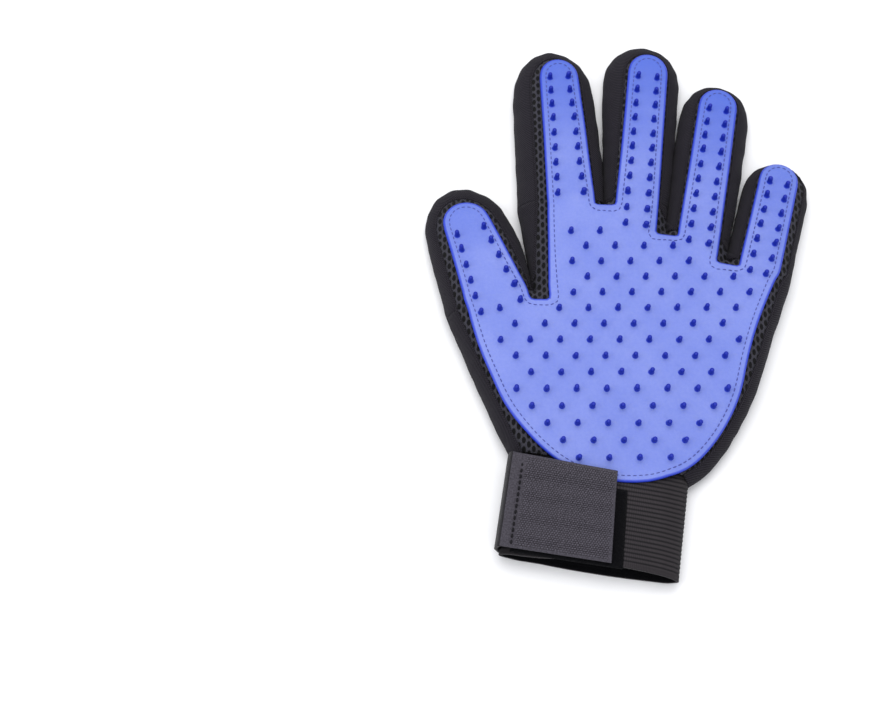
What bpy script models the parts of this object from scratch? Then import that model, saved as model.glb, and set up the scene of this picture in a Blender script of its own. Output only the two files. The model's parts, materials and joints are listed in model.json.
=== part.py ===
"""Grooming glove for the left hand, lying on its back with the studded silicone palm up.

+Y runs from the wrist to the fingertips, +X from the thumb side to the little finger side, and +Z
up, out of the palm. The origin is on the outer face of the back, in the middle of the wrist line.
Each finger and the wrist strap is its own moving body, parented to an empty on its hinge axis.
"""

import math
from collections import namedtuple

import bmesh
import bpy
from mathutils import Vector

MM = 0.001

# Overall sizes
PALM_WIDTH = 110 * MM  # across the four knuckles
PALM_LENGTH = 119 * MM  # wrist line to the index and middle knuckles
PALM_TOP = 13.0 * MM  # height of the mesh palm above the surface the back lies on
WRIST_TOP = 10.4 * MM  # height of the flattened cuff
TIP_TOP = 8.2 * MM  # height of the mesh at a fingertip

# Materials' thicknesses and the gaps between pieces
BACK_CLOTH = 1.0 * MM
MESH_CLOTH = 1.6 * MM
SIDE_CLOTH = 1.2 * MM
PAD_SHEET = 1.4 * MM
ELASTIC = 1.3 * MM
LOOP_TAPE = 1.2 * MM
HOOK_TAPE = 1.6 * MM
SEAM_GAP = 0.3 * MM
FINGER_GAP = 0.7 * MM  # between neighbouring fingers where their sides meet
HINGE_GAP = 0.6 * MM  # between a finger and the palm, across the knuckle line

# Silicone pad
NUB_HEIGHT = 3.5 * MM
NUB_ROOT_RADIUS = 1.15 * MM
NUB_TIP_RADIUS = 0.8 * MM
NUB_SIDES = 6
NUB_SINK = 0.5 * MM  # how far a nub's root goes into the sheet
NUB_COLUMN = 12.0 * MM  # palm: spacing along a row
NUB_ROW = 7.0 * MM  # palm: spacing between rows, each half a column out of step
NUB_ORIGIN = (0.2 * MM, 5.2 * MM)
NUB_EDGE = 4.6 * MM  # nub centre to the edge of the pad, on the palm
NUB_SPACE = 6.2 * MM  # least distance from the palm's own nubs to those of a finger's columns
NUB_FINGER_EDGE = 4.4 * MM  # a finger's two columns of nubs to the edges of its pad
NUB_FINGER_PITCH = 7.4 * MM
NUB_KNUCKLE = 2.2 * MM  # knuckle line to the first pair of nubs on the finger
NUB_TIP_CLEAR = 9.0 * MM  # least distance from a nub's centre to the tip of a finger's pad
NUB_TOP_CLEAR = 12.0 * MM  # least distance from the palm's rows to the index finger's knuckle
NOTCH_DEPTH = 2.6 * MM  # from the knuckle line down to the foot of the gap between two finger pads
THUMB_NOTCH_DEPTH = 5.4 * MM
THUMB_NOTCH_FLARE = 2.4 * MM
STITCH_INSET = 2.6 * MM
THREAD_WIDTH = 0.6 * MM
THREAD_HEIGHT = 0.4 * MM
THREAD_END = 1.1 * MM  # from a knuckle line to the end of a line of thread

# Side walls
SIDE_LEAN = 3.5 * MM  # the mesh ends this far inside the outline of the back
WEB_LEAN = 0.4 * MM

# Cuff and strap, in a frame turned with the cuff
CUFF_TURN = -9.0  # degrees
CUFF_CENTRE = (-14.9 * MM, 0.9 * MM)
CUFF_WIDTH = 70.0 * MM
CUFF_LENGTH = 38.8 * MM
BAND_SPLIT = 4.0 * MM  # gap in the band under the strap's fold
LOOP_LENGTH = 44.0 * MM
LOOP_WIDTH = 33.0 * MM
LOOP_START = 4.0 * MM  # the loop patch's left end, from the cuff's left edge
STRAP_LENGTH = 43.2 * MM
STRAP_WIDTH = 38.0 * MM
STRAP_ABOVE_CUFF = 0.6 * MM
STRAP_LIFT = 9.0 * MM  # along its top edge, the strap climbs over the pad for this width
FOLD_OUT = 0.5 * MM  # the strap folds this far outside the cuff's left edge
STRAP_STITCH = 4.6 * MM  # from the fold to the seam that holds the strap

COLOURS = {
    "silicone": ((0.27, 0.33, 0.86), 0.38),
    "mesh": ((0.035, 0.033, 0.037), 0.85),
    "knit": ((0.030, 0.028, 0.036), 0.8),
    "elastic": ((0.034, 0.030, 0.035), 0.75),
    "loop": ((0.010, 0.010, 0.013), 0.95),
    "hook": ((0.072, 0.066, 0.084), 0.6),
    "thread": ((0.12, 0.15, 0.42), 0.6),
    "black_thread": ((0.012, 0.012, 0.014), 0.6),
}

# root is the middle of the finger pad on the knuckle line, as shares of the palm's width and
# length. lean is in degrees, positive towards the little finger. tube is how far the cloth tube
# stands out past the pad on the left and right, and past its tip. mesh is how much of that is mesh.
# round is the length of the cloth's rounding at the tip, as a share of its half width. palm_rows is
# how many pairs of nubs carry on from its two columns over the palm.
Finger = namedtuple("Finger", "name root lean pad_length pad_width pad_tip tube mesh round palm_rows")
FINGERS = [
    Finger("thumb", (-0.502, 0.622), -18.6, 47.5 * MM, 25.9 * MM, 18.0 * MM,
           (7.6 * MM, 8.0 * MM, 9.4 * MM), (4.0 * MM, 3.0 * MM, 3.5 * MM), 1.5, 1),
    Finger("index", (-0.212, 1.000), -2.6, 72 * MM, 19.8 * MM, 16.2 * MM,
           (11.3 * MM, 6.1 * MM, 6.8 * MM), (4.2 * MM, 1.3 * MM, 1.8 * MM), 1.5, 0),
    Finger("middle", (0.044, 1.000), 7.2, 75 * MM, 17.3 * MM, 17.0 * MM,
           (9.6 * MM, 5.6 * MM, 6.2 * MM), (1.5 * MM, 1.2 * MM, 1.5 * MM), 1.15, 2),
    Finger("ring", (0.272, 0.868), 11.4, 73.5 * MM, 16.9 * MM, 16.2 * MM,
           (6.4 * MM, 6.0 * MM, 4.0 * MM), (1.2 * MM, 1.4 * MM, 1.5 * MM), 1.2, 1),
    Finger("little", (0.494, 0.750), 16.0, 51.0 * MM, 16.4 * MM, 16.0 * MM,
           (5.0 * MM, 5.8 * MM, 1.8 * MM), (1.2 * MM, 3.8 * MM, 0.8 * MM), 1.15, 1),
]

# Outer sides of the palm, as shares of its width and length, from the knuckle to the wrist.
PAD_LEFT = [(-0.572, 0.450), (-0.527, 0.340), (-0.478, 0.235), (-0.412, 0.145), (-0.326, 0.060),
            (-0.232, 0.002)]
PAD_FOOT = [(-0.115, -0.032), (0.035, -0.036)]
PAD_RIGHT = [(0.168, 0.008), (0.252, 0.075), (0.323, 0.166), (0.377, 0.270), (0.416, 0.397),
             (0.459, 0.514), (0.515, 0.634)]
CLOTH_LEFT = [(-0.656, 0.513), (-0.606, 0.395), (-0.555, 0.279), (-0.502, 0.164)]
CLOTH_RIGHT = [(0.596, 0.665), (0.535, 0.513), (0.477, 0.366), (0.424, 0.250), (0.373, 0.164),
               (0.315, 0.081), (0.240, 0.004)]

TIP_STEPS = 8
WEB_STEPS = 4
PAD_ROUND = 1.15  # length of a finger pad's rounding at the tip, as a share of its half width
KNEE = 0.5  # a finger's top bends down at this share of its pad's length
KNEE_DROP = 1.2 * MM
HEEL_END = 0.28  # the palm reaches its full height this share of its length from the wrist


# ---------------------------------------------------------------- plane geometry


def palm_point(share):
    return Vector((share[0] * PALM_WIDTH, share[1] * PALM_LENGTH))


def along(finger):
    """Direction of a finger, from its knuckle to its tip."""
    lean = math.radians(finger.lean)
    return Vector((math.sin(lean), math.cos(lean)))


def across(finger):
    """Direction of a finger's knuckle line, to its right."""
    lean = math.radians(finger.lean)
    return Vector((math.cos(lean), -math.sin(lean)))


def to_palm(finger, u, t):
    """A point u to the right of a finger's middle line and t past its knuckle line."""
    return palm_point(finger.root) + across(finger) * u + along(finger) * t


def pad_half(finger, t):
    share = min(max(t / finger.pad_length, 0.0), 1.0)
    return (finger.pad_width + (finger.pad_tip - finger.pad_width) * share) / 2


def side_sign(side):
    return -1.0 if side == "left" else 1.0


def neighbour(finger, side):
    order = [f.name for f in FINGERS]
    place = order.index(finger.name) + int(side_sign(side))
    return FINGERS[place] if 0 <= place < len(FINGERS) else None


def separator(left, right):
    """The line that two neighbouring fingers stay on either side of: a point and a direction."""
    if left.name == "thumb":
        foot = to_palm(left, pad_half(left, 0), 0)
        facing = Vector((to_palm(right, -pad_half(right, 0), 0).x - THUMB_NOTCH_FLARE, foot.y))
    else:
        foot = to_palm(left, pad_half(left, 0), 0)
        facing = to_palm(right, -pad_half(right, 0), 0)
    lean = math.radians((left.lean + right.lean) / 2)
    return (foot + facing) / 2, Vector((math.sin(lean), math.cos(lean)))


def room(finger, side, t):
    """How far a finger may reach to one side at t before it meets its neighbour's side."""
    other = neighbour(finger, side)
    if other is None:
        return math.inf
    pair = (other, finger) if side == "left" else (finger, other)
    point, direction = separator(*pair)
    start = to_palm(finger, 0, t)
    step = across(finger) * side_sign(side)
    gap = point - start
    turn = step.x * direction.y - step.y * direction.x
    return (gap.x * direction.y - gap.y * direction.x) / turn - FINGER_GAP / 2


def tube_reach(finger, side, t, less=0.0):
    """Half width of the cloth tube on one side at t, less a wall where asked."""
    margin = finger.tube[0 if side == "left" else 1]
    return min(pad_half(finger, t) + margin, room(finger, side, t)) - less


def mesh_reach(finger, side, t, less=0.0):
    """Half width of the mesh panel on one side at t."""
    margin = finger.mesh[0 if side == "left" else 1]
    widest = tube_reach(finger, side, t) - WEB_LEAN
    return min(pad_half(finger, t) + margin, widest) - less


def pad_reach(finger, _side, t, less=0.0):
    return pad_half(finger, t) - less


def finger_outline(finger, reach, length, less=0.0):
    """Points (u, t) up the left side of a finger, round its tip and down its right side."""
    rounding = PAD_ROUND if reach is pad_reach else finger.round
    near_tip = finger.pad_length
    width = reach(finger, "left", near_tip, less) + reach(finger, "right", near_tip, less)
    rise = rounding * width / 2
    shoulder = length - less - rise
    start, knee = HINGE_GAP / 2, KNEE * finger.pad_length
    steps = [start, (start + knee) / 2, knee, (knee + shoulder) / 2]
    left = [(-reach(finger, "left", t, less), t) for t in steps]
    right = [(reach(finger, "right", t, less), t) for t in reversed(steps)]
    low = -reach(finger, "left", shoulder, less)
    high = reach(finger, "right", shoulder, less)
    middle, half = (low + high) / 2, (high - low) / 2
    tip = []
    for k in range(TIP_STEPS + 1):
        turn = math.pi * (1 - k / TIP_STEPS)
        tip.append((middle + half * math.cos(turn), shoulder + rise * math.sin(turn)))
    return left + tip + right


def smooth_line(points, steps=3):
    """A curve through the points (Catmull-Rom), with steps stretches between each two."""
    ends = [2 * points[0] - points[1], *points, 2 * points[-1] - points[-2]]
    line = []
    for a, b, c, d in zip(ends, ends[1:], ends[2:], ends[3:]):
        for k in range(steps):
            s = k / steps
            line.append(0.5 * (2 * b + (c - a) * s + (2 * a - 5 * b + 4 * c - d) * s * s
                               + (3 * b - a - 3 * c + d) * s ** 3))
    return line + [points[-1]]


def normals(line):
    """Unit normals of an open line, pointing to the left of its direction of travel."""
    found = []
    for k in range(len(line)):
        step = line[min(k + 1, len(line) - 1)] - line[max(k - 1, 0)]
        found.append(Vector((-step.y, step.x)).normalized())
    return found


def shifted(line, distance):
    """The line moved sideways, to the right of its direction of travel."""
    return [p - n * distance for p, n in zip(line, normals(line))]


def cuff_point(u, v):
    """A point u to the right of the cuff's middle line and v above its top edge."""
    turn = math.radians(CUFF_TURN)
    right = Vector((math.cos(turn), math.sin(turn)))
    up = Vector((-math.sin(turn), math.cos(turn)))
    return Vector(CUFF_CENTRE) + right * u + up * v


# ---------------------------------------------------------------- outlines of the palm


def hinge_end(finger, side, reach=tube_reach):
    """Where the palm's edge along a knuckle line ends on one side."""
    distance = reach(finger, side, 0)
    return to_palm(finger, side_sign(side) * distance, -HINGE_GAP / 2)


def web_points(left, right, reach=tube_reach):
    """The palm's outline between two fingers: the end of one knuckle line, the foot of the gap
    beside the lower one, and the end of the other."""
    a, b = hinge_end(left, "right", reach), hinge_end(right, "left", reach)
    foot = a + across(left) * FINGER_GAP if a.y < b.y else b - across(right) * FINGER_GAP
    return [a, foot, b]


def cloth_side(points, finger, side, reach=tube_reach, lean=0.0, less=0.0):
    """One outer side of the palm's cloth, from the knuckle to the wrist. It is drawn in by lean
    and less, and its end stays on the knuckle line, where the finger's own cloth begins."""
    wrist = cuff_point(side_sign(side) * (CUFF_WIDTH / 2 - SEAM_GAP), SEAM_GAP)
    line = smooth_line([hinge_end(finger, side), *map(palm_point, points), wrist])
    line = shifted(line, side_sign(side) * (lean + less))
    distance = reach(finger, side, 0, less)
    return [to_palm(finger, side_sign(side) * distance, -HINGE_GAP / 2), *line[1:]]


def cloth_outline(reach=tube_reach, lean=0.0):
    """The palm's outline, clockwise from the wrist's thumb side. lean draws the outer sides in."""
    left = cloth_side(CLOTH_LEFT, FINGERS[0], "left", reach, lean)
    right = cloth_side(CLOTH_RIGHT, FINGERS[-1], "right", reach, lean)
    points = list(reversed(left))
    for a, b in zip(FINGERS, FINGERS[1:]):
        points += web_points(a, b, reach)
    return points + right


def notch(left, right):
    """The pad's outline between two fingers, with a straight foot square to the gap."""
    a = to_palm(left, pad_half(left, 0), -HINGE_GAP / 2)
    b = to_palm(right, -pad_half(right, 0), -HINGE_GAP / 2)
    if left.name == "thumb":
        depth, lean, flare = THUMB_NOTCH_DEPTH, 0.0, THUMB_NOTCH_FLARE
    else:
        depth, lean, flare = NOTCH_DEPTH, math.radians((left.lean + right.lean) / 2), 0.0
    slope = -math.tan(lean)
    level = min(a.y, b.y) - depth
    middle = (a.x + b.x) / 2
    feet = []
    for end, finger, shift in ((a, left, 0.0), (b, right, flare)):
        foot = level + slope * (end.x - middle)
        run = (end.y - foot) / along(finger).y
        feet.append(end - along(finger) * run - Vector((shift, 0)))
    return [a, *feet, b]


def pad_outline(inset=0.0):
    """Outline of the palm pad in two kinds of stretch: its outer sides and foot as one line from
    the little finger round to the thumb, and the notches between the fingers."""
    thumb, little = FINGERS[0], FINGERS[-1]
    start = to_palm(little, pad_half(little, 0), -HINGE_GAP / 2)
    end = to_palm(thumb, -pad_half(thumb, 0), -HINGE_GAP / 2)
    way = [*reversed(PAD_RIGHT), *reversed(PAD_FOOT), *reversed(PAD_LEFT)]
    outer = smooth_line([start, *map(palm_point, way), end])
    notches = [notch(a, b) for a, b in zip(FINGERS, FINGERS[1:])]
    if inset:
        outer = shifted(outer, inset)
        notches = [shifted(n, inset) for n in notches]
    return outer, notches


def depth_inside(point, polygon):
    """How far the point is from the polygon's edges, negative if it is outside."""
    odd = False
    nearest = math.inf
    for a, b in zip(polygon, polygon[1:] + polygon[:1]):
        if (a.y > point.y) != (b.y > point.y):
            if point.x < a.x + (point.y - a.y) / (b.y - a.y) * (b.x - a.x):
                odd = not odd
        edge = b - a
        if edge.length_squared == 0:
            continue
        share = min(max((point - a).dot(edge) / edge.length_squared, 0.0), 1.0)
        nearest = min(nearest, (a + edge * share - point).length)
    return nearest if odd else -nearest


# ---------------------------------------------------------------- heights


def palm_top(y):
    """Height of the mesh palm, which sinks towards the wrist."""
    share = min(max(y / (HEEL_END * PALM_LENGTH), 0.0), 1.0)
    return WRIST_TOP + (PALM_TOP - WRIST_TOP) * share


def finger_top(finger, t):
    """Height of a finger's mesh, which bends down at the knee and again towards the tip."""
    knee = KNEE * finger.pad_length
    if t < knee:
        return PALM_TOP - KNEE_DROP * max(t, 0.0) / knee
    share = (t - knee) / (finger.pad_length - knee)
    return PALM_TOP - KNEE_DROP + (TIP_TOP - PALM_TOP + KNEE_DROP) * share


# ---------------------------------------------------------------- solids


def material(name):
    found = bpy.data.materials.get(name)
    if found:
        return found
    found = bpy.data.materials.new(name)
    found.use_nodes = True
    colour, roughness = COLOURS[name]
    shader = found.node_tree.nodes["Principled BSDF"]
    shader.inputs["Base Color"].default_value = (*colour, 1.0)
    shader.inputs["Roughness"].default_value = roughness
    shader.inputs["Metallic"].default_value = 0.0
    return found


def finish(name, mesh_data, made_of, parent=None):
    """Turns a bmesh into the scene's object of that name."""
    bmesh.ops.recalc_face_normals(mesh_data, faces=mesh_data.faces[:])
    mesh = bpy.data.meshes.new(name)
    mesh_data.to_mesh(mesh)
    mesh_data.free()
    obj = bpy.data.objects.new(name, mesh)
    obj.data.materials.append(material(made_of))
    bpy.context.scene.collection.objects.link(obj)
    if parent:
        obj.parent = parent
        obj.location = (0, 0, -parent.location.z)
    return obj


def plate(name, outline, low, high, made_of, creases=(), parent=None):
    """A sheet over an outline, between the heights low(y) and high(y). Its faces bend at creases."""
    bm = bmesh.new()
    bottom = [bm.verts.new((x, y, 0)) for x, y in outline]
    top = [bm.verts.new((x, y, 1)) for x, y in outline]
    bm.faces.new(bottom)
    bm.faces.new(top)
    for k in range(len(outline)):
        j = (k + 1) % len(outline)
        bm.faces.new((bottom[k], bottom[j], top[j], top[k]))
    for y in creases:
        everything = bm.verts[:] + bm.edges[:] + bm.faces[:]
        bmesh.ops.bisect_plane(bm, geom=everything, plane_co=(0, y, 0), plane_no=(0, 1, 0))
    for vert in bm.verts:
        vert.co.z = high(vert.co.y) if vert.co.z > 0.5 else low(vert.co.y)
    return finish(name, bm, made_of, parent)


def wall(name, sections, made_of, parent=None):
    """A solid swept through sections, each a ring of the same number of points."""
    bm = bmesh.new()
    rings = [[bm.verts.new(p) for p in section] for section in sections]
    count = len(rings[0])
    for a, b in zip(rings, rings[1:]):
        for k in range(count):
            j = (k + 1) % count
            bm.faces.new((a[k], a[j], b[j], b[k]))
    bm.faces.new(rings[0])
    bm.faces.new(rings[-1])
    bmesh.ops.triangulate(bm, faces=bm.faces[:])  # a twisted wall's faces aren't flat
    return finish(name, bm, made_of, parent)


def side_wall(name, foot, inner_foot, head, inner_head):
    """A leaning cloth wall of the palm, between the back and the mesh."""
    sections = []
    for a, b, c, d in zip(foot, inner_foot, head, inner_head):
        low = BACK_CLOTH + SEAM_GAP
        high = palm_top(c.y) - MESH_CLOTH - SEAM_GAP
        sections.append([(a.x, a.y, low), (c.x, c.y, high), (d.x, d.y, high), (b.x, b.y, low)])
    return wall(name, sections, "knit")


def shortened(line, distance):
    """The line with its two ends drawn in along their first and last stretch."""
    first, last = (line[1] - line[0]).normalized(), (line[-2] - line[-1]).normalized()
    return [line[0] + first * distance, *line[1:-1], line[-1] + last * distance]


def thread(name, line, height, parent=None):
    """A sewn line of thread lying on the pad. height(point) is the pad's upper face."""
    line = shortened(line, THREAD_END)
    sections = []
    for point, normal in zip(line, normals(line)):
        a, b = point - normal * THREAD_WIDTH / 2, point + normal * THREAD_WIDTH / 2
        low = height(point) + SEAM_GAP
        high = low + THREAD_HEIGHT
        sections.append([(a.x, a.y, low), (a.x, a.y, high), (b.x, b.y, high), (b.x, b.y, low)])
    return wall(name, sections, "thread", parent=parent)


def nubs(name, places, parent=None):
    """Tapered round nubs rooted in the sheet at the places (x, y, height of its upper face)."""
    bm = bmesh.new()
    for x, y, height in places:
        rings = []
        for radius, z in ((NUB_ROOT_RADIUS, height - NUB_SINK), (NUB_TIP_RADIUS, height + NUB_HEIGHT)):
            turns = [2 * math.pi * k / NUB_SIDES for k in range(NUB_SIDES)]
            rings.append([bm.verts.new((x + radius * math.cos(a), y + radius * math.sin(a), z))
                          for a in turns])
        low, high = rings
        bm.faces.new(low)
        bm.faces.new(high)
        for k in range(NUB_SIDES):
            j = (k + 1) % NUB_SIDES
            bm.faces.new((low[k], low[j], high[j], high[k]))
    obj = finish(name, bm, "silicone", parent)
    obj.hide_render = True
    obj.display_type = "WIRE"
    return obj


def add_nubs(pad, places, parent=None):
    """Joins the nubs to the pad, which is moulded in one piece with them."""
    tool = nubs(pad.name + "_nubs", places, parent)
    modifier = pad.modifiers.new("nubs", "BOOLEAN")
    modifier.operation = "UNION"
    modifier.solver = "EXACT"
    modifier.object = tool


# ---------------------------------------------------------------- the glove


def column_places(finger, first, last):
    """Where pairs of nubs stand along a finger, from its knuckle line: (u, t) of each."""
    places = []
    for row in range(first, last):
        t = NUB_KNUCKLE + NUB_FINGER_PITCH * row
        if t < finger.pad_length - NUB_TIP_CLEAR:
            u = pad_half(finger, t) - NUB_FINGER_EDGE
            places += [(-u, t), (u, t)]
    return places


def palm_nub_places(outline):
    """The ends of the fingers' columns, and rows over the rest of the palm."""
    taken = []
    for finger in FINGERS:
        for u, t in column_places(finger, -finger.palm_rows, 0):
            short = max(NUB_FINGER_EDGE - depth_inside(to_palm(finger, u, t), outline), 0.0)
            taken.append(to_palm(finger, u - math.copysign(short, u), t))
    points = list(taken)
    rows = int((PALM_LENGTH - NUB_TOP_CLEAR - NUB_ORIGIN[1]) / NUB_ROW) + 1
    columns = int(PALM_WIDTH / NUB_COLUMN)
    for row in range(rows):
        for column in range(-columns, columns + 1):
            point = Vector((NUB_ORIGIN[0] + NUB_COLUMN * (column + 0.5 * (row % 2)),
                            NUB_ORIGIN[1] + NUB_ROW * row))
            clear = all((point - other).length > NUB_SPACE for other in taken)
            if clear and depth_inside(point, outline) > NUB_EDGE:
                points.append(point)
    return points


def make_palm_pad():
    outer, notches = pad_outline()
    outline = list(outer)
    for points in notches:
        outline += points
    heel = HEEL_END * PALM_LENGTH
    pad = plate("palm_pad", outline, lambda y: palm_top(y) + SEAM_GAP,
                lambda y: palm_top(y) + SEAM_GAP + PAD_SHEET, "silicone", (0, heel))
    add_nubs(pad, [(p.x, p.y, palm_top(p.y) + SEAM_GAP + PAD_SHEET)
                   for p in palm_nub_places(outline)])


def make_palm_threads():
    def height(point):
        return palm_top(point.y) + SEAM_GAP + PAD_SHEET

    outer, notches = pad_outline(STITCH_INSET)
    thread("palm_edge_thread", outer, height)
    for line, (a, b) in zip(notches, zip(FINGERS, FINGERS[1:])):
        thread(f"{a.name}_{b.name}_notch_thread", line, height)


def make_palm_cloth():
    heel = HEEL_END * PALM_LENGTH
    plate("back_panel", cloth_outline(), lambda y: 0.0, lambda y: BACK_CLOTH, "knit")
    plate("palm_mesh", cloth_outline(mesh_reach, SIDE_LEAN), lambda y: palm_top(y) - MESH_CLOTH,
          palm_top, "mesh", (0, heel))
    for name, points, finger, side in (
            ("thumb_side_gusset", CLOTH_LEFT, FINGERS[0], "left"),
            ("little_side_gusset", CLOTH_RIGHT, FINGERS[-1], "right")):
        lines = [cloth_side(points, finger, side, reach, lean, less)
                 for reach, lean in ((tube_reach, 0.0), (mesh_reach, SIDE_LEAN))
                 for less in (0.0, SIDE_CLOTH)]
        side_wall(name, *lines)
    for left, right in zip(FINGERS, FINGERS[1:]):
        make_web(left, right)


def make_web(left, right):
    """The palm's side wall beside the higher of two knuckles, down to the foot of the gap."""
    foot, head = web_points(left, right), web_points(left, right, mesh_reach)
    rising = foot[0].y < foot[2].y
    foot, head = (foot[1:], head[1:]) if rising else (foot[:2], head[:2])
    inward = shifted(head, SIDE_CLOTH)[0] - head[0]
    shares = [k / WEB_STEPS for k in range(WEB_STEPS + 1)]
    foot, head = ([line[0].lerp(line[1], s) for s in shares] for line in (foot, head))
    side_wall(f"{left.name}_{right.name}_web", foot, [p + inward for p in foot],
              head, [p + inward for p in head])


def make_finger(finger):
    hinge = bpy.data.objects.new(finger.name + "_hinge", None)
    root = palm_point(finger.root)
    hinge.location = (root.x, root.y, PALM_TOP + SEAM_GAP + PAD_SHEET)
    hinge.rotation_euler.z = -math.radians(finger.lean)
    bpy.context.scene.collection.objects.link(hinge)
    knee = KNEE * finger.pad_length

    def top(t):
        return finger_top(finger, t)

    tube_length = finger.pad_length + finger.tube[2]
    mesh_length = finger.pad_length + finger.mesh[2]
    tube = finger_outline(finger, tube_reach, tube_length)
    mesh = finger_outline(finger, mesh_reach, mesh_length)
    plate(finger.name + "_back", tube, lambda t: 0.0, lambda t: BACK_CLOTH, "knit", parent=hinge)
    plate(finger.name + "_mesh", mesh, lambda t: top(t) - MESH_CLOTH, top, "mesh", (knee,), hinge)
    inner_tube = finger_outline(finger, tube_reach, tube_length, SIDE_CLOTH)
    inner_mesh = finger_outline(finger, mesh_reach, mesh_length, SIDE_CLOTH)
    low = BACK_CLOTH + SEAM_GAP
    sections = []
    for a, b, c, d in zip(tube, inner_tube, mesh, inner_mesh):
        head = top(c[1]) - MESH_CLOTH - SEAM_GAP
        inner_head = top(d[1]) - MESH_CLOTH - SEAM_GAP
        sections.append([(*a, low), (*c, head), (*d, inner_head), (*b, low)])
    wall(finger.name + "_gusset", sections, "knit", parent=hinge)

    def sheet(t):
        return top(t) + SEAM_GAP

    outline = finger_outline(finger, pad_reach, finger.pad_length)
    pad = plate(finger.name + "_pad", outline, sheet, lambda t: sheet(t) + PAD_SHEET, "silicone",
                (knee,), hinge)
    rows = int(finger.pad_length / NUB_FINGER_PITCH)
    places = [(u, t, sheet(t) + PAD_SHEET) for u, t in column_places(finger, 0, rows + 1)]
    add_nubs(pad, places, hinge)
    line = [Vector(p) for p in finger_outline(finger, pad_reach, finger.pad_length, STITCH_INSET)]
    thread(finger.name + "_pad_thread", line, lambda p: sheet(p.y) + PAD_SHEET, hinge)


def band_section(u_shares, inset):
    """Points (u, z) along the flattened cuff's ring, from the front's left end over the right side
    and back under to the left, inset from its outer face."""
    radius = WRIST_TOP / 2
    half = CUFF_WIDTH / 2 - radius
    split = -half + BAND_SPLIT
    front = [(split + (half - split) * s, WRIST_TOP - inset) for s in u_shares]
    turns = [math.pi / 2 - math.pi * k / TIP_STEPS for k in range(1, TIP_STEPS)]
    right = [(half + (radius - inset) * math.cos(a), radius + (radius - inset) * math.sin(a))
             for a in turns]
    back = [(-half + 2 * half * s, inset) for s in reversed(u_shares)]
    turns = [-math.pi / 2 - math.pi * k / TIP_STEPS for k in range(1, TIP_STEPS + 1)]
    left = [(-half + (radius - inset) * math.cos(a), radius + (radius - inset) * math.sin(a))
            for a in turns]
    return front + right + back + left


def make_cuff():
    """The elastic band, open under the strap's fold, with the loop patch sewn on its front."""
    shares = [0.0, 0.5, 1.0]
    sections = []
    for outer, inner in zip(band_section(shares, 0.0), band_section(shares, ELASTIC)):
        ring = []
        for (u, z), v in ((outer, 0.0), (outer, -CUFF_LENGTH), (inner, -CUFF_LENGTH), (inner, 0.0)):
            point = cuff_point(u, v)
            ring.append((point.x, point.y, z))
        sections.append(ring)
    wall("elastic_band", sections, "elastic")

    low = LOOP_START - CUFF_WIDTH / 2
    high = low + LOOP_LENGTH
    foot = -CUFF_LENGTH + SEAM_GAP
    corners = [cuff_point(*c) for c in ((low, foot), (high, foot), (high, foot + LOOP_WIDTH),
                                        (low, foot + LOOP_WIDTH))]
    base = WRIST_TOP + SEAM_GAP
    plate("loop_patch", corners, lambda y: base, lambda y: base + LOOP_TAPE, "loop")


def make_strap():
    """The hook tape, pressed on the loop patch and lifted by the foot of the pad along its top
    edge. It folds at its left edge, about which it turns to open the cuff."""
    left = -CUFF_WIDTH / 2 - FOLD_OUT
    half = STRAP_WIDTH / 2
    middle = cuff_point(left, STRAP_ABOVE_CUFF - half)
    bottom = WRIST_TOP + LOOP_TAPE + 2 * SEAM_GAP
    lifted = palm_top(cuff_point(left, STRAP_ABOVE_CUFF).y) + PAD_SHEET + THREAD_HEIGHT
    rise = lifted + 3 * SEAM_GAP - bottom
    bend = half - STRAP_LIFT

    def low(v):
        return bottom + rise * min(max((v - bend) / STRAP_LIFT, 0.0), 1.0)

    def high(v):
        return low(v) + HOOK_TAPE

    hinge = bpy.data.objects.new("strap_hinge", None)
    hinge.location = (middle.x, middle.y, bottom + HOOK_TAPE)
    hinge.rotation_euler.z = math.radians(CUFF_TURN)
    bpy.context.scene.collection.objects.link(hinge)
    start, end = SEAM_GAP, SEAM_GAP + STRAP_LENGTH
    corners = [(start, -half), (end, -half), (end, half), (start, half)]
    plate("hook_tape", corners, low, high, "hook", (bend,), hinge)
    line = [Vector((STRAP_STITCH, v)) for v in (-half, bend, half)]
    seam = thread("strap_thread", line, lambda p: high(p.y), hinge)
    seam.data.materials[0] = material("black_thread")


def main():
    for obj in list(bpy.data.objects):
        bpy.data.objects.remove(obj)
    make_palm_pad()
    make_palm_threads()
    make_palm_cloth()
    for finger in FINGERS:
        make_finger(finger)
    make_cuff()
    make_strap()


main()
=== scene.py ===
"""Looks of the grooming glove: moulded silicone, air mesh, knit, ribbed elastic and hook tape.

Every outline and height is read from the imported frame. The top of the cloth is one height field,
cloth_height, which rises smoothly from the glove's outline, so that neighbouring pieces meet.
"""

import json
import math

import bmesh
import bpy
import numpy as np
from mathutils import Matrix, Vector, noise
from mathutils.geometry import delaunay_2d_cdt
from mathutils.kdtree import KDTree


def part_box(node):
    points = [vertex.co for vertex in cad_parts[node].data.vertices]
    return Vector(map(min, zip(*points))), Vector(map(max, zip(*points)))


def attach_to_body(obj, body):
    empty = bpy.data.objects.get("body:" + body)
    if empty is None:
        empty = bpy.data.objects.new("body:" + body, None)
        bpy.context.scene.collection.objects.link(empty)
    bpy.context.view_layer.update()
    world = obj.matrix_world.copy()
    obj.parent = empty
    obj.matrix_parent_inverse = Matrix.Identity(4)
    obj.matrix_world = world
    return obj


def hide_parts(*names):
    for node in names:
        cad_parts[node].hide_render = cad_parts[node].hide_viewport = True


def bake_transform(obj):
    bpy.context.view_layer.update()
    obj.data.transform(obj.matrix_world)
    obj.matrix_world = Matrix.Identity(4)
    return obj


MM = 0.001

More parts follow.
